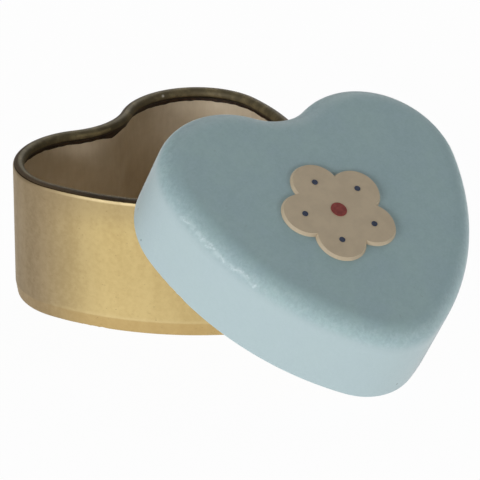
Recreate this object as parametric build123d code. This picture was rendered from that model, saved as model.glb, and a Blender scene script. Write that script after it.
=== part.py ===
from build123d import *

import math
import os
from collections import namedtuple

# A small keepsake tin shaped like a heart, with its lid taken off.
# The lid stands on its point in front of the tin and leans on the tin's rim.
# Lengths are in millimetres and angles in degrees.
# The origin is the centre of the tin's underside and up is +Z.
# The heart's point looks toward -Y and its cleft toward +Y.

# Sheet metal that the tin and the lid are drawn from
SHEET = 0.3

# Outline of the lid's outside, six arcs that meet without a corner
LID_WIDTH = 60.0
LOBE_RADIUS = 16.1
TIP_RADIUS = 12.6
SIDE_RADIUS = 51.2
CLEFT_RADIUS = 10.6
LOBES_TO_TIP = 27.0

# Drawn depths, drawn corners and curled edges
TIN_HEIGHT = 26.5
TIN_CORNER = 0.8
TIN_CURL = 1.05
LID_HEIGHT = 17.5
LID_SHOULDER = 4.2
LID_CURL = 0.65
CURL_TURN = 285.0

# The tin's wall leans in a little below a crease near the floor
CREASE_HEIGHT = 2.8
CREASE_LEAN = 9.0

# Room between the lid's curled edge and the tin's wall when the lid is on
CLOSING_GAP = 0.35

# Flower pressed up in the middle of the lid
PETALS = 5
PETAL_RADIUS = 4.3
PETAL_REACH = 6.3
FLOWER_MIDDLE_RADIUS = 5.2
FLOWER_HEIGHT = 0.5
FLOWER_SLOPE = 0.35
FLOWER_TURN = 14.0
FLOWER_ASIDE = -1.0
FLOWER_BACK = 0.8

# Enamel on the flower
ENAMEL = 0.1
CENTRE_SPOT_RADIUS = 1.5
PETAL_DOT_RADIUS = 0.55
PETAL_DOT_REACH = 6.8

# How the lid leans: where its point stands, and how it is turned and rolled
POINT_ASIDE = -10.5
POINT_FORWARD = 56.2
LEAN_TURN = -17.6
LEAN_ROLL = 3.7
STEEPEST_LEAN = 40.0
LEAN_STEP = 1.0
FINEST_LEAN_STEP = 0.001

# Room between the leaning lid's curled edge and the tin's rim
LEAN_GAP = 0.3

Bend = namedtuple("Bend", "centre radius side start sweep")


def direction(origin, target):
    """Angle of the line from one point to another."""
    return math.degrees(math.atan2(target.Y - origin.Y, target.X - origin.X))


def side_centre(lobe, tip):
    """Centre of the long side arc, from its distances to the lobe's and the tip's centres."""
    to_tip = SIDE_RADIUS - TIP_RADIUS
    to_lobe = SIDE_RADIUS - LOBE_RADIUS
    span = lobe - tip
    along = (to_tip**2 - to_lobe**2 + span.length**2) / (2 * span.length)
    across = math.sqrt(to_tip**2 - along**2)
    unit = span.normalized()
    return tip + unit * along + Vector(-unit.Y, unit.X) * across


def mirrored(bend):
    """The same arc on the heart's other side."""
    centre = Vector(-bend.centre.X, bend.centre.Y)
    return bend._replace(centre=centre, start=180 - bend.start - bend.sweep)


def heart_bends():
    """The six arcs of the lid's outside; side is -1 for the cleft, which bends the other way."""
    middle = (LOBE_RADIUS - LOBES_TO_TIP - TIP_RADIUS) / 2
    lobe_x = LID_WIDTH / 2 - LOBE_RADIUS
    cleft_y = math.sqrt((CLEFT_RADIUS + LOBE_RADIUS) ** 2 - lobe_x**2)
    lobe = Vector(lobe_x, -middle)
    tip = Vector(0, -LOBES_TO_TIP - middle)
    cleft = Vector(0, cleft_y - middle)
    side = side_centre(lobe, tip)
    tip_end = direction(side, tip)
    side_end = direction(side, lobe)
    lobe_end = direction(lobe, cleft)
    tip_bend = Bend(tip, TIP_RADIUS, 1, -180 - tip_end, 2 * tip_end + 180)
    side_bend = Bend(side, SIDE_RADIUS, 1, tip_end, side_end - tip_end)
    lobe_bend = Bend(lobe, LOBE_RADIUS, 1, side_end, lobe_end - side_end)
    cleft_bend = Bend(cleft, CLEFT_RADIUS, -1, -lobe_end, 2 * lobe_end - 180)
    return [
        tip_bend,
        side_bend,
        lobe_bend,
        cleft_bend,
        mirrored(lobe_bend),
        mirrored(side_bend),
    ]


def heart_edges(inset):
    """The heart's outline as arcs, moved inward by inset."""
    edges = []
    for bend in heart_bends():
        radius = bend.radius - bend.side * inset
        edges.append(CenterArc(bend.centre, radius, bend.start, bend.sweep))
    return edges


def drawn_section(radius, side, height, corner, curl, crease, lean):
    """Cut through the sheet from the flat panel to the curled edge, on the XZ plane.

    The wall stands at radius from the axis; side is 1 if the panel lies toward the axis.
    Below the crease the wall leans inward. Without a lean it has no crease.
    """

    def at(inset, level):
        return Vector(radius - side * inset, 0, level)

    def turn(centre_inset, centre_level, reach, first, last):
        points = []
        for angle in (first, (first + last) / 2, last):
            inset = centre_inset + reach * math.cos(math.radians(angle))
            level = centre_level + reach * math.sin(math.radians(angle))
            points.append(at(inset, level))
        return ThreePointArc(*points)

    curl_end = 180 - CURL_TURN
    curl_level = height - curl
    corner_inset = corner_centre_inset(corner, crease, lean)
    inner_crease = crease + SHEET * math.tan(math.radians(lean / 2))
    outer_corner = turn(corner_inset, corner, corner, 270, 180 + lean)
    outer_curl = turn(curl, curl_level, curl, 180, curl_end)
    inner_curl = turn(curl, curl_level, curl - SHEET, curl_end, 180)
    inner_corner = turn(corner_inset, corner, corner - SHEET, 180 + lean, 270)
    outer_wall = [outer_corner @ 1, outer_curl @ 0]
    inner_wall = [inner_curl @ 1, inner_corner @ 0]
    if lean > 0:
        outer_wall.insert(1, at(0, crease))
        inner_wall.insert(1, at(SHEET, inner_crease))
    edges = [
        outer_corner,
        Polyline(*outer_wall),
        outer_curl,
        Line(outer_curl @ 1, inner_curl @ 0),
        inner_curl,
        Polyline(*inner_wall),
        inner_corner,
        Line(inner_corner @ 1, outer_corner @ 0),
    ]
    return make_face(edges)


def corner_centre_inset(corner, crease, lean):
    """How far inside the wall the drawn corner's centre lies."""
    slope = math.radians(lean)
    return (crease - corner) * math.tan(slope) + corner / math.cos(slope)


def drawn_cup(inset, height, corner, curl, crease=0, lean=0):
    """A heart-shaped cup of sheet metal with an edge curled inward, its panel on z = 0."""
    panel_inset = inset + corner_centre_inset(corner, crease, lean)
    cup = extrude(make_face(heart_edges(panel_inset)), SHEET)
    for bend in heart_bends():
        radius = bend.radius - bend.side * inset
        section = drawn_section(radius, bend.side, height, corner, curl, crease, lean)
        wall = revolve(section, Axis.Z, bend.sweep)
        cup += Pos(bend.centre) * Rot(0, 0, bend.start) * wall
    return cup


def wall_gap():
    """How far the tin's outside lies inside the lid's outside."""
    return 2 * LID_CURL + CLOSING_GAP


def tin_body():
    """The tin, standing on the floor."""
    return drawn_cup(wall_gap(), TIN_HEIGHT, TIN_CORNER, TIN_CURL, CREASE_HEIGHT, CREASE_LEAN)


def on_flower(reach, angle):
    """A place on the lid's top, measured from the flower's middle."""
    middle = Pos(FLOWER_ASIDE, FLOWER_BACK)
    return middle * Rot(0, 0, FLOWER_TURN + angle) * Pos(0, reach)


def flower_mound(margin, height):
    """A disc and petals with sloping sides, spread by margin."""

    def mound(radius):
        top = radius + margin
        return Cone(top + FLOWER_SLOPE, top, height, align=(Align.CENTER, Align.CENTER, Align.MIN))

    flower = on_flower(0, 0) * mound(FLOWER_MIDDLE_RADIUS)
    for petal in range(PETALS):
        flower += on_flower(PETAL_REACH, petal * 360 / PETALS) * mound(PETAL_RADIUS)
    return flower


def lid_shell():
    """The lid, level, with its curled edge on z = 0 and the flower pressed up."""
    cup = drawn_cup(0, LID_HEIGHT, LID_SHOULDER, LID_CURL)
    raised = Pos(0, 0, LID_HEIGHT) * flower_mound(0, FLOWER_HEIGHT)
    hollow = Pos(0, 0, -SHEET) * raised
    return Pos(0, 0, LID_HEIGHT) * Rot(0, 180, 0) * cup + raised - hollow


def flower_enamel():
    """Pale coat over the flower's top and sloping sides."""
    coat = flower_mound(ENAMEL, FLOWER_HEIGHT + ENAMEL)
    return Pos(0, 0, LID_HEIGHT) * (coat - flower_mound(0, FLOWER_HEIGHT))


def enamel_spot(radius):
    """A thin round spot of enamel, lying on the flower's coat."""
    level = LID_HEIGHT + FLOWER_HEIGHT + ENAMEL
    spot = Cylinder(radius, ENAMEL, align=(Align.CENTER, Align.CENTER, Align.MIN))
    return Pos(0, 0, level) * spot


def flower_centre_enamel():
    """The spot in the middle of the flower."""
    return on_flower(0, 0) * enamel_spot(CENTRE_SPOT_RADIUS)


def petal_dots_enamel():
    """One small dot on each petal."""
    dots = []
    for petal in range(PETALS):
        place = on_flower(PETAL_DOT_REACH, petal * 360 / PETALS)
        dots.append(place * enamel_spot(PETAL_DOT_RADIUS))
    return Compound(children=dots)


def leaning(lean):
    """The leaning lid's place at the given lean, before it is lowered to the floor."""
    point_to_centre = (LOBE_RADIUS + LOBES_TO_TIP + TIP_RADIUS) / 2
    stand = Pos(POINT_ASIDE, -POINT_FORWARD) * Rot(0, 0, LEAN_TURN)
    return stand * Rot(lean, 0, 0) * Rot(0, LEAN_ROLL, 0) * Pos(0, point_to_centre)


def on_the_floor(lean):
    """The leaning lid's place at the given lean, with its point on the floor."""
    curl_line = leaning(lean) * Pos(0, 0, LID_CURL) * Wire(heart_edges(LID_CURL))
    lowest = curl_line.bounding_box().min.Z - LID_CURL
    return Pos(0, 0, -lowest) * leaning(lean)


def edge_to_rim(lean):
    """Room between the lid's curled edge and the tin's rim at the given lean."""
    lid_line = on_the_floor(lean) * Pos(0, 0, LID_CURL) * Wire(heart_edges(LID_CURL))
    rim_line = Pos(0, 0, TIN_HEIGHT - TIN_CURL) * Wire(heart_edges(wall_gap() + TIN_CURL))
    return lid_line.distance_to(rim_line) - LID_CURL - TIN_CURL


def lid_place():
    """The lid let down on its point until its edge lies just off the rim."""
    lean = STEEPEST_LEAN
    step = LEAN_STEP
    while step > FINEST_LEAN_STEP:
        if edge_to_rim(lean - step) >= LEAN_GAP:
            lean -= step
        else:
            step /= 2
    return on_the_floor(lean)


def main():
    place = lid_place()
    nodes = {
        "tin_body": tin_body(),
        "lid_shell": place * lid_shell(),
        "flower_enamel": place * flower_enamel(),
        "flower_centre_enamel": place * flower_centre_enamel(),
        "petal_dots_enamel": place * petal_dots_enamel(),
    }
    os.makedirs("parts", exist_ok=True)
    for name, solid in nodes.items():
        export_step(solid, f"parts/{name}.step")


main()
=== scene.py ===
import math
from collections import namedtuple

import bpy
import numpy as np
from mathutils import Matrix, Vector
from mathutils.bvhtree import BVHTree


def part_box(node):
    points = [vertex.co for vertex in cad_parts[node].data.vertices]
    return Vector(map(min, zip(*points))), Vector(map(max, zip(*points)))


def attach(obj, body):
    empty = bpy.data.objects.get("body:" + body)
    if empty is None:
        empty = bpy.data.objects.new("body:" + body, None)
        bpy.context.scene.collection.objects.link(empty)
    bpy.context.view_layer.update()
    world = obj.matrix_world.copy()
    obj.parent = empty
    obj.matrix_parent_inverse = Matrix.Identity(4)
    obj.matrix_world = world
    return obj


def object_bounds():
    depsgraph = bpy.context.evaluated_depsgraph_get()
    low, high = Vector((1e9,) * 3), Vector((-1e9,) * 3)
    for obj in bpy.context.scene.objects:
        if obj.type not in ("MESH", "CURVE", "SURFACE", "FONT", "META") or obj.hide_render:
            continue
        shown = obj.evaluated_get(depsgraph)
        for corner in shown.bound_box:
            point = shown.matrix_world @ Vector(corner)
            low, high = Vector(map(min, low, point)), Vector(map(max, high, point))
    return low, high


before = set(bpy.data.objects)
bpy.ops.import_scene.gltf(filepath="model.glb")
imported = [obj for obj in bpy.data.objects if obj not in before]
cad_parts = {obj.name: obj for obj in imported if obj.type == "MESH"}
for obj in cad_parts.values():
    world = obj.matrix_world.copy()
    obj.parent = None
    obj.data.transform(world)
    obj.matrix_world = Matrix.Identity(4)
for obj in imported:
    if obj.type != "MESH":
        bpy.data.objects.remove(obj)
CAD_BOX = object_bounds()

# Looks of the heart-shaped keepsake tin: gold lacquer outside, a dark curled rim, pale blue
# paint on the leaning lid, and a cream flower on it. Lengths are in metres.

MM = 0.001

# The photograph's camera, around the frame's origin; the sensor is in millimetres
PHOTO_SIDE = 480
SENSOR = 36.0
AZIMUTH = -47.073
ELEVATION = 24.754
DISTANCE = 0.79612
PIXELS_PER_METRE = 5371.1
ORIGIN_PIXEL_X = 191.212
ORIGIN_PIXEL_Y = 284.372

# Sizes of the sheet metal, as the solids have them
TIN_CURL = 1.05 * MM
TIN_CREASE = 2.8 * MM
LID_CURL = 0.65 * MM

# How a face has to lie to be taken as wall, as skirt or as inside
WALL_FACING = 0.3
SKIRT_FACING = 0.1
INSIDE_RISE = 0.9

# How near a level a corner counts as on it, and a length that keeps a division from zero
LEVEL_TOLERANCE = 0.05 * MM
NEAR_ZERO = 1e-12

# How far round the curl, in degrees from level, the gold and the dark band, a painted dark
# reflection, reach
GOLD_UP_THE_CURL = 31.0
GOLD_FACES_UP_THE_CURL = 43.0
DARK_UP_THE_CURL = 88.0

# The dark line of painted reflection that ends the gold on the curl: how wavy and how soft it is
GOLD_END_WAVE = 0.15 * MM
GOLD_END_BLUR = 0.05 * MM

# Where along Y the gold turns darker toward the heart's lobes, as painted shade
LOBES_START = -4.0 * MM
LOBES_END = 13.0 * MM

# How far below the rim the gold is darker as painted shade, how high above the floor it is paler
# as a painted reflection of the floor, and by how much
SHADE_UNDER_RIM_DEPTH = 8.0 * MM
SHADE_UNDER_RIM_SHARE = 0.42
FLOOR_REFLECTION_HEIGHT = 14.0 * MM
FLOOR_REFLECTION_SHARE = 0.22

# Around the crease: where the painted shade below it is full and gone, and where the painted
# highlight above it ends
CREASE_SHADE_FULL = TIN_CREASE - 0.25 * MM
CREASE_SHADE_GONE = TIN_CREASE + 0.15 * MM
CREASE_SHADE_AT_SIDES = 0.4
CREASE_SHADE_AT_LOBES = 0.15
CREASE_HIGHLIGHT_END = TIN_CREASE + 0.9 * MM
CREASE_HIGHLIGHT_SHARE = 0.5

# The painted highlight where the gold turns onto the curl: where it starts and is full, and its
# share
CURL_HIGHLIGHT_BELOW = 0.05 * MM
CURL_HIGHLIGHT_ABOVE = 0.1 * MM
CURL_HIGHLIGHT_SHARE = 0.4

# The shade on the curl's underside: where it is full and gone, and how ragged it is
SHADE_BELOW = 0.3 * MM
SHADE_ABOVE = 0.15 * MM
SHADE_RAGGED = 0.5 * MM

# How far the paint faces up the lid where it turns from skirt to shoulder and to the flat top
SKIRT_TO_SHOULDER = (0.1, 0.6)
SHOULDER_START = (0.1, 0.5)
SHOULDER_END = (0.8, 0.98)

# How noise is stretched along each axis: upright bands and streaks, and flattened specks
UPRIGHT_BANDS = (1, 1, 0.15)
UPRIGHT_STREAKS = (1, 1, 0.2)
FLAT_SPECKS = (0.7, 0.7, 1.4)

# Raw edge of the sheet that hangs under the curl, dark partly as painted shade
EDGE_STATIONS = 720
EDGE_INSET = TIN_CURL + 0.17 * MM
EDGE_THICKNESS = 0.2 * MM
EDGE_OVERLAP = 0.12 * MM
EDGE_DROP = 0.55 * MM
CLEFT_TUCK = 0.7 * MM
CLEFT_TUCK_ASIDE = 0.7 * MM
CLEFT_TUCK_REACH = 1.7 * MM

# Waves of the raw edge: how many go round the rim, their share of the drop, and their start
EDGE_WAVES = ((5, 0.10, 0.4), (13, 0.08, 1.9), (29, 0.07, 4.1), (61, 0.06, 2.6), (97, 0.04, 5.2))

# Marks, by the pixels where the photograph shows them
# The shoulder's marks below are chipped paint with painted glints of light
SCUFF_GLINTS = [(181, 216), (192, 226), (204, 240), (214, 250), (224, 262), (242, 273), (257, 287)]
SCUFF_GLINT_REACH = 0.8 * MM
FLAKE_GLINTS = [
    [(184, 220), (190, 224)],
    [(201, 240), (204, 238)],
    [(207, 242), (212, 245)],
    [(206, 246), (215, 249)],
    [(221, 256), (224, 262)],
    [(232, 269), (243, 272)],
    [(247, 276), (248, 277)],
    [(253, 287), (256, 285)],
]
FLAKE_GLINT_REACH = 0.42 * MM
FLAKE_GLINT_SHARE = 0.8
NICKS = [(138, 209), (141, 240), (397, 384)]
NICK_REACH = 0.3 * MM
RIM_STREAK = [(78, 136), (98, 133), (110, 129)]
RIM_STREAK_REACH = 0.4 * MM
RIM_SPECKS = [(163, 96)]
RIM_SPECK_REACH = 0.4 * MM

# Light: the world's grey, the floor and the lamps around the object
AMBIENT = 0.06
FLOOR_REACH = 10.0
FLOOR_COLOUR = 0.9
FLOOR_GLOW = 0.97
LAMP_REACH = 0.7
LAMP_WIDTH = 0.40
LAMP_HEIGHT = 0.20

Faces = namedtuple("Faces", "centres normals areas")
Lamp = namedtuple("Lamp", "name azimuth elevation power")

LAMPS = [
    Lamp("key", -80, 12, 2.0),
    Lamp("key_low", -100, 3, 0.18),
    Lamp("left", -112, 26, 0.6),
    Lamp("front", 20, 3, 1.25),
    Lamp("back", 120, 30, 1.2),
    Lamp("back_top", 120, 60, 0.76),
]

# The curve from screen values to linear ones
CURVE_START = 0.04045
CURVE_SLOPE = 12.92
CURVE_OFFSET = 0.055
CURVE_POWER = 2.4


# Colours


def srgb(red, green, blue):
    """A colour read from a screen, 0 to 255, as the linear colour that shaders take."""

    def linear(value):
        share = value / 255
        if share <= CURVE_START:
            return share / CURVE_SLOPE
        return ((share + CURVE_OFFSET) / (1 + CURVE_OFFSET)) ** CURVE_POWER

    return (linear(red), linear(green), linear(blue), 1.0)


# Two colours in a row are the two ends of an uneven one
GOLD = srgb(194, 172, 120), srgb(202, 181, 128)
# The next five colours are painted onto the gold: painted shade, a painted floor reflection,
# painted shade below the crease and two painted highlights
SHADED_GOLD = srgb(151, 133, 103), srgb(161, 143, 113)
FLOOR_REFLECTION_GOLD = srgb(222, 200, 146)
CREASE_SHADE_GOLD = srgb(192, 158, 100)
CREASE_HIGHLIGHT_GOLD = srgb(216, 196, 146)
CURL_HIGHLIGHT_GOLD = srgb(222, 206, 168)
GOLD_SPECK = srgb(140, 116, 78)
# The gold's dark end on the curl and the rim's dark olive are painted dark reflections of the curl
GOLD_END_REFLECTION = srgb(60, 46, 26)
RIM_REFLECTION = srgb(100, 90, 64), srgb(130, 117, 84)
RIM_GRAIN = srgb(60, 50, 34)
RUBBED_RIM = srgb(160, 144, 104)
SHADED_RIM = srgb(34, 22, 8)
BARE_SPECK = srgb(226, 220, 206)
# The curl's outer dark band is a painted dark reflection, painted lighter round the lobes
DARK_BAND_REFLECTION = srgb(50, 37, 20), srgb(66, 51, 31)
DARK_BAND_LIGHTER_AT_LOBES = srgb(98, 82, 62)
DARK_BAND_GRAIN = srgb(38, 27, 14)
# The raw edge is nearly black partly by its own colour and partly as painted shade
RAW_EDGE_AND_SHADE = srgb(34, 20, 6), srgb(56, 36, 16)
RAW_EDGE_GRAIN = srgb(74, 56, 34)
LACQUER = srgb(222, 206, 180), srgb(237, 222, 198)
PAINT = srgb(162, 188, 193), srgb(165, 192, 193)
PAINT_MOTTLE = srgb(157, 184, 187)
PAINT_GRAIN = srgb(176, 200, 205)
PAINT_STAIN = srgb(144, 166, 168)
# A painted reflection on the skirt, then painted glints and painted shade specks on the shoulder
SKIRT_REFLECTION_PAINT = srgb(176, 192, 196)
SHOULDER_GLINT_PAINT = srgb(196, 208, 212)
SHOULDER_SHADE_PAINT = srgb(146, 164, 170)
# Chipped paint on the shoulder, also its painted glints
FLAKE_GLINT_PAINT = srgb(204, 220, 224)
NICKED_PAINT = srgb(78, 92, 94)
CREAM = srgb(198, 180, 152), srgb(205, 187, 158)
DARK_RED = srgb(128, 44, 38), srgb(150, 60, 52)
NAVY = srgb(40, 50, 74), srgb(54, 66, 92)
WHITE = (1, 1, 1, 1)


# Camera


def view_axes(azimuth, elevation):
    """Right, up and back of a camera that looks at the origin from these angles."""
    a = math.radians(azimuth)
    e = math.radians(elevation)
    back = Vector((math.sin(a) * math.cos(e), -math.cos(a) * math.cos(e), math.sin(e)))
    right = Vector((math.cos(a), math.sin(a), 0))
    return right, back.cross(right), back


def turned(axes):
    """The turn that brings X, Y and Z onto right, up and back."""
    return Matrix(axes).transposed().to_4x4()


def camera_place():
    """Where the camera stands so that the origin falls on its pixel."""
    right, up, back = view_axes(AZIMUTH, ELEVATION)
    aside = (ORIGIN_PIXEL_X - PHOTO_SIDE / 2) / PIXELS_PER_METRE
    down = (ORIGIN_PIXEL_Y - PHOTO_SIDE / 2) / PIXELS_PER_METRE
    return back * DISTANCE - right * aside + up * down


def add_camera():
    data = bpy.data.cameras.new("camera")
    data.sensor_width = SENSOR
    data.lens = PIXELS_PER_METRE * DISTANCE * SENSOR / PHOTO_SIDE
    camera = bpy.data.objects.new("camera", data)
    bpy.context.scene.collection.objects.link(camera)
    turn = turned(view_axes(AZIMUTH, ELEVATION))
    camera.matrix_world = Matrix.Translation(camera_place()) @ turn
    bpy.context.scene.camera = camera


def seen_at(node, pixels):
    """The points of a solid that the photograph shows at some pixels."""
    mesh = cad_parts[node].data
    corners = [vertex.co for vertex in mesh.vertices]
    tree = BVHTree.FromPolygons(corners, [tuple(face.vertices) for face in mesh.polygons])
    right, up, back = view_axes(AZIMUTH, ELEVATION)
    points = []
    for x, y in pixels:
        aside = right * (x - PHOTO_SIDE / 2)
        rise = up * (PHOTO_SIDE / 2 - y)
        ray = aside + rise - back * PIXELS_PER_METRE * DISTANCE
        points.append(tree.ray_cast(camera_place(), ray.normalized())[0])
    return points


# Nodes

# Sockets of the mix node when it mixes colours
MIX_SHARE = 0
MIX_FIRST = 6
MIX_SECOND = 7
MIX_RESULT = 2


class Finish:
    """The nodes of one material."""

    def __init__(self, name):
        self.material = bpy.data.materials.new(name)
        self.material.use_nodes = True
        self.tree = self.material.node_tree
        self.shader = self.tree.nodes["Principled BSDF"]
        here = self.tree.nodes.new("ShaderNodeTexCoord").outputs
        self.place = here["Object"]
        self.normal = here["Normal"]

    def link(self, source, target):
        self.tree.links.new(source, target)

    def fill(self, socket, value):
        """Sets a socket, or links it where the value is another node's output."""
        if isinstance(value, bpy.types.NodeSocket):
            self.link(value, socket)
        else:
            socket.default_value = value

    def set(self, name, value):
        self.fill(self.shader.inputs[name], value)

    def stretched(self, factors):
        """The place on the object, stretched along each axis."""
        node = self.tree.nodes.new("ShaderNodeMapping")
        node.inputs["Scale"].default_value = factors
        self.link(self.place, node.inputs["Vector"])
        return node.outputs["Vector"]

    def noise(self, size, detail=2, rough=0.5, place=None):
        """Noise whose blotches are about that wide."""
        node = self.tree.nodes.new("ShaderNodeTexNoise")
        node.inputs["Scale"].default_value = 1 / size
        node.inputs["Detail"].default_value = detail
        node.inputs["Roughness"].default_value = rough
        self.link(place or self.place, node.inputs["Vector"])
        return node.outputs["Fac"]

    def spread(self, value, low, high, to_low=0.0, to_high=1.0):
        """Maps low to high smoothly onto another range and stops at its ends."""
        node = self.tree.nodes.new("ShaderNodeMapRange")
        node.interpolation_type = "SMOOTHSTEP"
        self.fill(node.inputs["Value"], value)
        node.inputs["From Min"].default_value = low
        node.inputs["From Max"].default_value = high
        node.inputs["To Min"].default_value = to_low
        node.inputs["To Max"].default_value = to_high
        return node.outputs["Result"]

    def mix(self, share, first, second):
        """Colour between two colours."""
        node = self.tree.nodes.new("ShaderNodeMix")
        node.data_type = "RGBA"
        self.fill(node.inputs[MIX_SHARE], share)
        self.fill(node.inputs[MIX_FIRST], first)
        self.fill(node.inputs[MIX_SECOND], second)
        return node.outputs[MIX_RESULT]

    def maths(self, operation, first, second):
        node = self.tree.nodes.new("ShaderNodeMath")
        node.operation = operation
        self.fill(node.inputs[0], first)
        self.fill(node.inputs[1], second)
        return node.outputs[0]

    def both(self, first, second):
        return self.maths("MULTIPLY", first, second)

    def rest(self, share):
        return self.maths("SUBTRACT", 1, share)

    def average(self, first, second):
        return self.both(self.maths("ADD", first, second), 0.5)

    def along(self, axis):
        """Place along X, Y or Z; Z is the height above the floor."""
        node = self.tree.nodes.new("ShaderNodeSeparateXYZ")
        self.link(self.place, node.inputs[0])
        return node.outputs[axis]

    def vector(self, operation, first, second):
        node = self.tree.nodes.new("ShaderNodeVectorMath")
        node.operation = operation
        self.fill(node.inputs[0], first)
        self.fill(node.inputs[1], second)
        name = "Value" if operation in ("DOT_PRODUCT", "DISTANCE") else "Vector"
        return node.outputs[name]

    def near_point(self, point, reach):
        """1 at a point, fading to 0 at reach."""
        distance = self.vector("DISTANCE", self.place, point)
        return self.spread(distance, 0, reach, 1, 0)

    def near_line(self, start, end, reach):
        """1 on the straight line between two points, fading to 0 at reach."""
        span = end - start
        offset = self.vector("SUBTRACT", self.place, start)
        along = self.vector("DOT_PRODUCT", offset, span / span.length_squared)
        along = self.maths("MAXIMUM", self.maths("MINIMUM", along, 1), 0)
        scale = self.tree.nodes.new("ShaderNodeVectorMath")
        scale.operation = "SCALE"
        scale.inputs[0].default_value = span
        self.link(along, scale.inputs["Scale"])
        distance = self.vector("DISTANCE", offset, scale.outputs["Vector"])
        return self.spread(distance, 0, reach, 1, 0)

    def near_path(self, points, reach):
        """1 on a line through several points, fading to 0 at reach."""
        near = 0.0
        for start, end in zip(points, points[1:]):
            near = self.maths("MAXIMUM", near, self.near_line(start, end, reach))
        return near

    def blotchy(self, noise, colours, low=0.35, high=0.65):
        """A colour that runs from one end to the other as the noise rises from low to high."""
        return self.mix(self.spread(noise, low, high), *colours)

    def flecked(self, colour, noise, low, high, fleck, share=1.0):
        """The colour, with another mixed in where the noise is high."""
        return self.mix(self.spread(noise, low, high, 0, share), colour, fleck)

    def dotted(self, colour, points, reach, dot):
        """The colour, with a soft dot of another at each point."""
        for point in points:
            colour = self.mix(self.near_point(point, reach), colour, dot)
        return colour

    def roughen(self, noise, rough, smooth, low=0.3, high=0.7):
        """Sets a roughness that falls from rough to smooth as the noise rises from low to high."""
        self.set("Roughness", self.spread(noise, low, high, rough, smooth))

    def bump(self, height, depth):
        node = self.tree.nodes.new("ShaderNodeBump")
        node.inputs["Distance"].default_value = depth
        self.link(height, node.inputs["Height"])
        self.link(node.outputs["Normal"], self.shader.inputs["Normal"])


# Gold outside of the tin


def tin_top():
    """Height of the tin's rim."""
    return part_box("tin_body")[1].z


def gold_shades(finish, tone, lobes, height):
    """Uneven gold, darker round the lobes and under the rim as painted shade, and paler low on the
    sides as a painted reflection of the floor.
    """
    colour = finish.mix(lobes, finish.blotchy(tone, GOLD), finish.blotchy(tone, SHADED_GOLD))
    near_rim = finish.spread(height, tin_top() - SHADE_UNDER_RIM_DEPTH, tin_top() - TIN_CURL, 0, SHADE_UNDER_RIM_SHARE)
    colour = finish.mix(near_rim, colour, SHADED_GOLD[0])
    near_floor = finish.spread(height, TIN_CREASE, FLOOR_REFLECTION_HEIGHT, FLOOR_REFLECTION_SHARE, 0)
    return finish.mix(finish.both(near_floor, finish.rest(lobes)), colour, FLOOR_REFLECTION_GOLD)


def gold_crease(finish, colour, lobes, height):
    """Painted shade below the crease, and a painted highlight above it on the sides."""
    below = finish.spread(height, CREASE_SHADE_FULL, CREASE_SHADE_GONE, 1, 0)
    crease_shade = finish.both(below, finish.spread(lobes, 0, 1, CREASE_SHADE_AT_SIDES, CREASE_SHADE_AT_LOBES))
    colour = finish.mix(crease_shade, colour, CREASE_SHADE_GOLD)
    above = finish.spread(height, TIN_CREASE, CREASE_HIGHLIGHT_END, 1, 0)
    crease_highlight = finish.both(finish.maths("SUBTRACT", above, below), CREASE_HIGHLIGHT_SHARE)
    return finish.mix(finish.both(crease_highlight, finish.rest(lobes)), colour, CREASE_HIGHLIGHT_GOLD)


def gold_curl_highlight(finish, colour, lobes, height):
    """A painted highlight where the sides turn onto the curl."""
    start = tin_top() - TIN_CURL
    curl_highlight = finish.spread(height, start - CURL_HIGHLIGHT_BELOW, start + CURL_HIGHLIGHT_ABOVE, 0, CURL_HIGHLIGHT_SHARE)
    return finish.mix(finish.both(curl_highlight, finish.rest(lobes)), colour, CURL_HIGHLIGHT_GOLD)


def gold_end(finish, colour, blotches, height):
    """The gold's end on the curl, a dark and slightly wavy line of painted reflection."""
    end = tin_top() - TIN_CURL + TIN_CURL * math.sin(math.radians(GOLD_UP_THE_CURL))
    wave = finish.both(finish.maths("SUBTRACT", blotches, 0.5), GOLD_END_WAVE)
    level = finish.maths("ADD", height, wave)
    dark_reflection = finish.spread(level, end - GOLD_END_BLUR, end + GOLD_END_BLUR)
    return finish.mix(dark_reflection, colour, GOLD_END_REFLECTION)


def gold_lacquer():
    """Satin gold lacquer, blotchy and finely grained, with painted shade, a painted floor
    reflection, painted highlights and a painted dark reflection on the curl.
    """
    finish = Finish("gold_lacquer")
    blotches = finish.noise(0.9 * MM, detail=4, rough=0.6)
    bands = finish.noise(3.5 * MM, place=finish.stretched(UPRIGHT_BANDS))
    specks = finish.noise(0.5 * MM, place=finish.stretched(FLAT_SPECKS))
    tone = finish.average(blotches, bands)
    lobes = finish.spread(finish.along("Y"), LOBES_START, LOBES_END)
    height = finish.along("Z")
    colour = gold_shades(finish, tone, lobes, height)
    colour = gold_crease(finish, colour, lobes, height)
    colour = gold_curl_highlight(finish, colour, lobes, height)
    colour = finish.flecked(colour, specks, 0.66, 0.76, GOLD_SPECK, share=0.35)
    finish.set("Base Color", gold_end(finish, colour, blotches, height))
    finish.set("Metallic", 1.0)
    finish.roughen(tone, 0.62, 0.54)
    finish.bump(tone, 0.012 * MM)
    return finish.material


# Rim and inside of the tin


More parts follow.
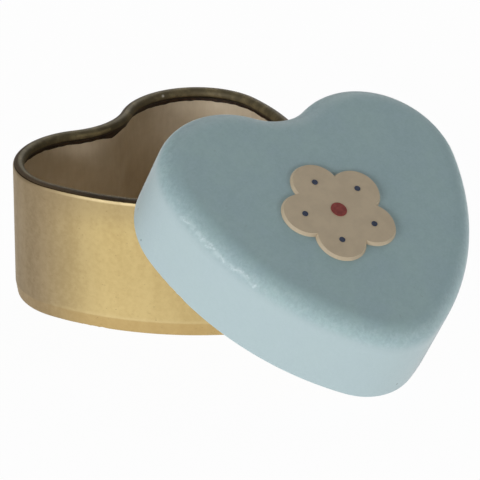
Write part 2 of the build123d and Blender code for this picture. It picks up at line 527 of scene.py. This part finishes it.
def rim_painted_reflection():
    """Dark olive of the curled rim, a painted dark reflection of the gold curl, with a lighter
    streak in places and painted shade nearly black below.
    """
    finish = Finish("rim_painted_reflection")
    patches = finish.noise(2.4 * MM, detail=3, rough=0.6)
    grain = finish.noise(0.35 * MM, detail=3, rough=0.7)
    colour = finish.blotchy(patches, RIM_REFLECTION, 0.42, 0.72)
    colour = finish.flecked(colour, grain, 0.55, 0.8, RIM_GRAIN)
    streak = finish.near_path(seen_at("tin_body", RIM_STREAK), RIM_STREAK_REACH)
    streak = finish.both(streak, finish.spread(grain, 0.3, 0.6, 0.4, 1))
    colour = finish.mix(streak, colour, RUBBED_RIM)
    centre = tin_top() - TIN_CURL
    level = finish.maths("ADD", finish.along("Z"), finish.both(grain, SHADE_RAGGED))
    shade = finish.spread(level, centre - SHADE_BELOW, centre + SHADE_ABOVE, 1, 0)
    colour = finish.mix(shade, colour, SHADED_RIM)
    specks = seen_at("tin_body", RIM_SPECKS)
    finish.set("Base Color", finish.dotted(colour, specks, RIM_SPECK_REACH, BARE_SPECK))
    finish.set("Metallic", 0.3)
    finish.roughen(grain, 0.65, 0.52)
    finish.bump(grain, 0.03 * MM)
    return finish.material


def rim_dark_band_reflection():
    """Dark brown outer side of the curl above the gold, a painted dark reflection, painted lighter
    round the lobes.
    """
    finish = Finish("rim_dark_band_reflection")
    patches = finish.noise(1.8 * MM, detail=3, rough=0.6)
    grain = finish.noise(0.3 * MM, detail=3, rough=0.7)
    colour = finish.blotchy(patches, DARK_BAND_REFLECTION, 0.4, 0.7)
    lobes = finish.spread(finish.along("Y"), LOBES_START, LOBES_END, 0, 0.7)
    colour = finish.mix(lobes, colour, DARK_BAND_LIGHTER_AT_LOBES)
    finish.set("Base Color", finish.flecked(colour, grain, 0.5, 0.8, DARK_BAND_GRAIN))
    finish.set("Metallic", 0.2)
    finish.roughen(grain, 0.6, 0.5)
    finish.bump(grain, 0.03 * MM)
    return finish.material


def raw_edge_and_shade():
    """Nearly black brown of the raw edge under the curl, partly its own colour and partly painted
    shade.
    """
    finish = Finish("raw_edge_and_shade")
    grain = finish.noise(0.3 * MM, detail=3, rough=0.7)
    stains = finish.noise(1.2 * MM)
    colour = finish.blotchy(stains, RAW_EDGE_AND_SHADE, 0.35, 0.7)
    finish.set("Base Color", finish.flecked(colour, grain, 0.6, 0.8, RAW_EDGE_GRAIN))
    finish.set("Metallic", 0.2)
    finish.roughen(grain, 0.65, 0.5)
    finish.bump(grain, 0.03 * MM)
    return finish.material


def plain_lacquer():
    """Beige-grey lacquer inside the tin and the lid."""
    finish = Finish("inside_lacquer")
    clouds = finish.noise(6.0 * MM, detail=4, rough=0.6)
    grain = finish.noise(0.7 * MM, 3, 0.6, finish.stretched(UPRIGHT_STREAKS))
    tone = finish.average(clouds, finish.average(clouds, grain))
    finish.set("Base Color", finish.blotchy(tone, LACQUER))
    finish.set("Metallic", 0.15)
    finish.roughen(tone, 0.48, 0.42, 0.35, 0.65)
    finish.bump(grain, 0.003 * MM)
    return finish.material


# Paint and enamel of the lid


def paint_tone(finish, grain, stains):
    """Pale blue paint, softly mottled and grained, with a few stains."""
    clouds = finish.noise(7.0 * MM, detail=4, rough=0.6)
    mottles = finish.noise(1.6 * MM)
    colour = finish.blotchy(clouds, PAINT)
    colour = finish.flecked(colour, mottles, 0.35, 0.65, PAINT_MOTTLE, share=0.5)
    colour = finish.flecked(colour, grain, 0.35, 0.75, PAINT_GRAIN, share=0.4)
    return finish.flecked(colour, stains, 0.70, 0.80, PAINT_STAIN, share=0.5)


def paint_by_slope(finish, colour, facing_up, flecks, stains):
    """The paint, paler on the upright skirt as a painted reflection, with painted glints and
    painted shade specks on the rounded shoulder.
    """
    skirt = finish.spread(facing_up, *SKIRT_TO_SHOULDER, 0.7, 0)
    colour = finish.mix(skirt, colour, SKIRT_REFLECTION_PAINT)
    shoulder = finish.both(
        finish.spread(facing_up, *SHOULDER_START),
        finish.spread(facing_up, *SHOULDER_END, 1, 0),
    )
    broken = finish.average(flecks, stains)
    shoulder_glints = finish.both(shoulder, finish.spread(broken, 0.5, 0.62, 0, 0.22))
    colour = finish.mix(shoulder_glints, colour, SHOULDER_GLINT_PAINT)
    dim = finish.both(shoulder, finish.spread(broken, 0.4, 0.52, 0.25, 0))
    return finish.mix(dim, colour, SHOULDER_SHADE_PAINT)


def chips_and_glints(finish, flecks, stains):
    """1 where the paint has chipped and painted glints show, less on the band around them, and 0
    elsewhere.
    """
    band_glints = finish.near_path(seen_at("lid_shell", SCUFF_GLINTS), SCUFF_GLINT_REACH)
    band_glints = finish.both(band_glints, finish.spread(stains, 0.35, 0.6, 0.15, 0.5))
    chip_glints = 0.0
    for stroke in FLAKE_GLINTS:
        near = finish.near_path(seen_at("lid_shell", stroke), FLAKE_GLINT_REACH)
        chip_glints = finish.maths("MAXIMUM", chip_glints, near)
    chip_glints = finish.both(chip_glints, finish.spread(flecks, 0.4, 0.55, 0.3, 1))
    return finish.maths("MAXIMUM", band_glints, chip_glints)


def blue_paint(lid_up):
    """Matte pale blue paint with a faint sheen, pale chipped spots with painted glints, and dark
    nicks.
    """
    finish = Finish("blue_paint")
    grain = finish.noise(0.5 * MM, detail=4, rough=0.65)
    flecks = finish.noise(0.35 * MM, detail=4, rough=0.6)
    stains = finish.noise(0.9 * MM)
    facing_up = finish.vector("DOT_PRODUCT", finish.normal, lid_up)
    colour = paint_tone(finish, grain, stains)
    colour = paint_by_slope(finish, colour, facing_up, flecks, stains)
    chipped_and_glinting = chips_and_glints(finish, flecks, stains)
    colour = finish.mix(finish.both(chipped_and_glinting, FLAKE_GLINT_SHARE), colour, FLAKE_GLINT_PAINT)
    nicks = seen_at("lid_shell", NICKS)
    finish.set("Base Color", finish.dotted(colour, nicks, NICK_REACH, NICKED_PAINT))
    finish.roughen(grain, 0.62, 0.5)
    finish.set("Specular IOR Level", 0.4)
    finish.set("Sheen Weight", 0.5)
    finish.set("Sheen Roughness", 0.25)
    finish.bump(finish.maths("ADD", grain, chipped_and_glinting), 0.03 * MM)
    return finish.material


def enamel(name, colours, size):
    """Printed enamel, a little uneven; its clouds are that wide, and its grain a fifth of it."""
    finish = Finish(name)
    clouds = finish.noise(size, detail=4, rough=0.6)
    grain = finish.noise(size / 5, detail=3, rough=0.6)
    finish.set("Base Color", finish.blotchy(clouds, colours))
    finish.roughen(grain, 0.6, 0.5)
    finish.bump(grain, 0.01 * MM)
    return finish.material


# Faces of the solids


def faces_of(node):
    """Centres, normals and areas of a solid's faces, one row each."""
    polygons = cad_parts[node].data.polygons
    count = len(polygons)
    centres = np.zeros(count * 3)
    normals = np.zeros(count * 3)
    areas = np.zeros(count)
    polygons.foreach_get("center", centres)
    polygons.foreach_get("normal", normals)
    polygons.foreach_get("area", areas)
    return Faces(centres.reshape(-1, 3), normals.reshape(-1, 3), areas)


def outwardness(places, normals):
    """How far each normal points away from the upright axis, from -1 to 1."""
    outward = places * np.array([1, 1, 0])
    outward /= np.linalg.norm(outward, axis=1)[:, None] + NEAR_ZERO
    return (normals * outward).sum(1)


def lid_axes():
    """Rows: the lid's right, its way from point to cleft, and up out of its top."""
    top = faces_of("flower_centre_enamel")
    up = top.normals[np.argmax(top.normals[:, 2])]
    shell = faces_of("lid_shell")
    skirt = np.abs(shell.normals @ up) < SKIRT_FACING
    flat = shell.centres[skirt] - np.outer(shell.centres[skirt] @ up, up)
    areas = shell.areas[skirt]
    middle = np.average(flat, axis=0, weights=areas)
    offset = flat - middle
    values, vectors = np.linalg.eigh((offset * areas[:, None]).T @ offset)
    lowest = flat[np.argmin(shell.centres[skirt][:, 2])] - middle
    choices = vectors[:, np.argsort(values)[1:]].T
    along = max(choices, key=lambda axis: abs(axis @ lowest))
    forward = -along * np.sign(along @ lowest)
    return np.array([np.cross(forward, up), forward, up])


def lid_middle(axes):
    """Middle of the lid's lower edge, from how far the shell reaches along its axes."""
    points = np.array([vertex.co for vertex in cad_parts["lid_shell"].data.vertices])
    reach = points @ axes.T
    low = reach.min(0)
    high = reach.max(0)
    return axes.T @ np.array([(low[0] + high[0]) / 2, (low[1] + high[1]) / 2, low[2]])


def dress(node, materials, choice):
    """Gives a solid its materials, face by face."""
    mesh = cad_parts[node].data
    mesh.materials.clear()
    for material in materials:
        mesh.materials.append(material)
    mesh.polygons.foreach_set("material_index", np.asarray(choice, np.int32))


def dress_tin():
    """Gold outside and underneath, painted dark reflections on the curled rim, lacquer inside."""
    gold, rim_reflection_faces, dark, inside = range(4)
    faces = faces_of("tin_body")
    radial = outwardness(faces.centres, faces.normals)
    rise = faces.normals[:, 2]
    on_curl = faces.centres[:, 2] > tin_top() - 2 * TIN_CURL
    outer_curl = on_curl & (radial > 0)
    choice = np.where(radial - INSIDE_RISE * rise < 0, inside, gold)
    choice[on_curl] = rim_reflection_faces
    choice[outer_curl & (rise < math.sin(math.radians(DARK_UP_THE_CURL)))] = dark
    choice[outer_curl & (rise < math.sin(math.radians(GOLD_FACES_UP_THE_CURL)))] = gold
    dress("tin_body", [gold_lacquer(), rim_painted_reflection(), rim_dark_band_reflection(), plain_lacquer()], choice)


def dress_lid():
    """Paint outside, lacquer inside."""
    axes = lid_axes()
    faces = faces_of("lid_shell")
    places = (faces.centres - lid_middle(axes)) @ axes.T
    normals = faces.normals @ axes.T
    radial = outwardness(places, normals)
    inside = radial + INSIDE_RISE * normals[:, 2] < 0
    inside |= (places[:, 2] < 2 * LID_CURL) & (radial < 0)
    dress("lid_shell", [blue_paint(axes[2]), plain_lacquer()], np.where(inside, 1, 0))


def dress_flower():
    """Cream enamel on the flower, a dark red spot in its middle and navy dots round it."""
    for node, material in (
        ("flower_enamel", enamel("cream_enamel", CREAM, 3 * MM)),
        ("flower_centre_enamel", enamel("dark_red_enamel", DARK_RED, 0.8 * MM)),
        ("petal_dots_enamel", enamel("navy_enamel", NAVY, 0.6 * MM)),
    ):
        dress(node, [material], np.zeros(len(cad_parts[node].data.polygons)))


# Raw edge under the rim, dark partly as painted shade


def rim_outline():
    """Places and inward directions, evenly spaced round the tin where the curl begins."""
    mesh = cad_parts["tin_body"].data
    faces = faces_of("tin_body")
    wall = outwardness(faces.centres, faces.normals) > WALL_FACING
    wall &= faces.centres[:, 2] < tin_top() - 2 * TIN_CURL
    curl_start = tin_top() - TIN_CURL
    corners = set()
    for face in np.flatnonzero(wall):
        for corner in mesh.polygons[face].vertices:
            point = mesh.vertices[corner].co
            if abs(point.z - curl_start) < LEVEL_TOLERANCE:
                corners.add((point.x, point.y))
    ring = sorted(corners, key=lambda corner: math.atan2(corner[1], corner[0]))
    return evenly_spaced(np.array(ring), EDGE_STATIONS)


def evenly_spaced(outline, count):
    """The closed outline again, at count evenly spaced places, with its inward directions."""
    closed = np.vstack([outline, outline[:1]])
    run = np.concatenate([[0], np.cumsum(np.linalg.norm(np.diff(closed, axis=0), axis=1))])
    marks = np.linspace(0, run[-1], count, endpoint=False)
    places = np.stack([np.interp(marks, run, closed[:, axis]) for axis in range(2)], 1)
    along = np.roll(places, -2, 0) - np.roll(places, 2, 0)
    along /= np.linalg.norm(along, axis=1)[:, None]
    return places, np.stack([-along[:, 1], along[:, 0]], 1)


def edge_drop(turn, x, y):
    """How far the raw edge hangs at a turn round the rim; it is tucked down in the cleft."""
    wave = sum(share * math.sin(count * turn + start) for count, share, start in EDGE_WAVES)
    drop = EDGE_DROP * (1 + wave)
    if y > 0:
        drop += CLEFT_TUCK * math.exp(-abs(x - CLEFT_TUCK_ASIDE) / CLEFT_TUCK_REACH)
    return drop


def edge_mesh():
    """A thin ribbon that hangs from the underside of the curl, with four corners a station; it
    also stands as painted shade under the curl.
    """
    places, inward = rim_outline()
    top = tin_top() - 2 * TIN_CURL + EDGE_OVERLAP
    vertices = []
    faces = []
    for station in range(EDGE_STATIONS):
        turn = 2 * math.pi * station / EDGE_STATIONS
        bottom = top - EDGE_OVERLAP - edge_drop(turn, *places[station])
        for inset in (EDGE_INSET - EDGE_THICKNESS / 2, EDGE_INSET + EDGE_THICKNESS / 2):
            x, y = places[station] + inward[station] * inset
            vertices += [(x, y, top), (x, y, bottom)]
        here = 4 * station
        there = 4 * ((station + 1) % EDGE_STATIONS)
        faces.append((here, here + 1, there + 1, there))
        faces.append((here + 2, there + 2, there + 3, here + 3))
        faces.append((here, there, there + 2, here + 2))
        faces.append((here + 1, here + 3, there + 3, there + 1))
    mesh = bpy.data.meshes.new("rim_cut_edge_and_shade")
    mesh.from_pydata(vertices, [], faces)
    return mesh


def add_raw_edge():
    """The sheet's raw wavy edge, partly painted shade under the curl, fixed to the tin."""
    mesh = edge_mesh()
    mesh.materials.append(raw_edge_and_shade())
    edge = bpy.data.objects.new("rim_cut_edge_and_shade", mesh)
    bpy.context.scene.collection.objects.link(edge)
    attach(edge, "tin")


# Floor and light


def floor_material():
    """Matte pale floor that glows nearly white and keeps a faint shadow."""
    material = bpy.data.materials.new("pale_floor")
    material.use_nodes = True
    tree = material.node_tree
    tree.nodes.clear()
    diffuse = tree.nodes.new("ShaderNodeBsdfDiffuse")
    diffuse.inputs["Color"].default_value = (FLOOR_COLOUR, FLOOR_COLOUR, FLOOR_COLOUR, 1)
    glow = tree.nodes.new("ShaderNodeEmission")
    glow.inputs["Strength"].default_value = 1
    mix = tree.nodes.new("ShaderNodeMixShader")
    mix.inputs["Fac"].default_value = FLOOR_GLOW
    tree.links.new(diffuse.outputs[0], mix.inputs[1])
    tree.links.new(glow.outputs[0], mix.inputs[2])
    output = tree.nodes.new("ShaderNodeOutputMaterial")
    tree.links.new(mix.outputs[0], output.inputs["Surface"])
    return material


def add_floor():
    mesh = bpy.data.meshes.new("floor")
    side = FLOOR_REACH
    corners = [(-side, -side, 0), (side, -side, 0), (side, side, 0), (-side, side, 0)]
    mesh.from_pydata(corners, [], [(0, 1, 2, 3)])
    mesh.materials.append(floor_material())
    floor = bpy.data.objects.new("floor", mesh)
    bpy.context.scene.collection.objects.link(floor)


def add_world():
    """A dim plain grey all round."""
    world = bpy.data.worlds.new("studio")
    bpy.context.scene.world = world
    world.use_nodes = True
    background = world.node_tree.nodes["Background"]
    background.inputs["Color"].default_value = WHITE
    background.inputs["Strength"].default_value = AMBIENT


def add_lamp(lamp):
    """A soft rectangular lamp aimed at the object's middle."""
    data = bpy.data.lights.new(lamp.name, "AREA")
    data.shape = "RECTANGLE"
    data.size = LAMP_WIDTH
    data.size_y = LAMP_HEIGHT
    data.energy = lamp.power
    light = bpy.data.objects.new(lamp.name, data)
    bpy.context.scene.collection.objects.link(light)
    axes = view_axes(lamp.azimuth, lamp.elevation)
    middle = (CAD_BOX[0] + CAD_BOX[1]) / 2
    light.matrix_world = Matrix.Translation(middle + axes[2] * LAMP_REACH) @ turned(axes)


def main():
    bpy.context.scene.view_settings.view_transform = "Standard"
    add_camera()
    dress_tin()
    dress_lid()
    dress_flower()
    add_raw_edge()
    add_floor()
    add_world()
    for lamp in LAMPS:
        add_lamp(lamp)


main()
